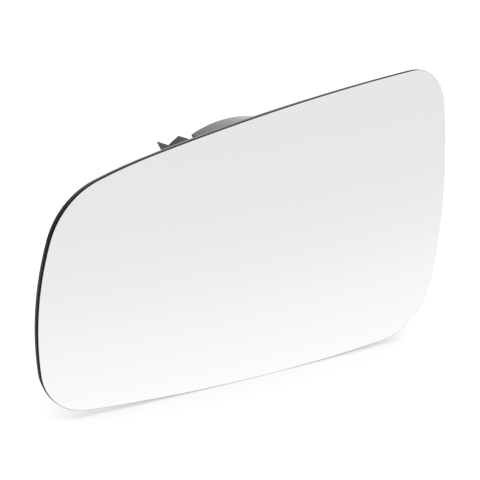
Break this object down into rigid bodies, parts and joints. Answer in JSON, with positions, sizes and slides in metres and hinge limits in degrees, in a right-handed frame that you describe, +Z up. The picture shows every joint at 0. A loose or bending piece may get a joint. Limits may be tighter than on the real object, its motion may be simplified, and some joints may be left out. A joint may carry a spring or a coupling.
{
  "type": "car door mirror glass",
  "caption": "Convex mirror pane for a left car door mirror, bonded to a black moulded plate whose ring snaps onto the mirror's tilting drive.",
  "frame": {"origin": "centre of the drive ring, on the flat seat that the ring stands on", "axes": "-Y is the way the mirror faces, +Y runs back along the drive ring's axis, +X is the inboard side, to the right of someone who looks into the mirror, +Z is up"},
  "size_m": [0.1857, 0.018, 0.1122],
  "materials": {
    "mirror_coating": "polished",
    "pad_foam": "matte",
    "plate_plastic": "satin"
  },
  "bodies": {
    "root": {"mirror_glass": "mirror_coating", "adhesive_pad": "pad_foam", "backing_plate": "plate_plastic"}
  },
  "joints": []
}
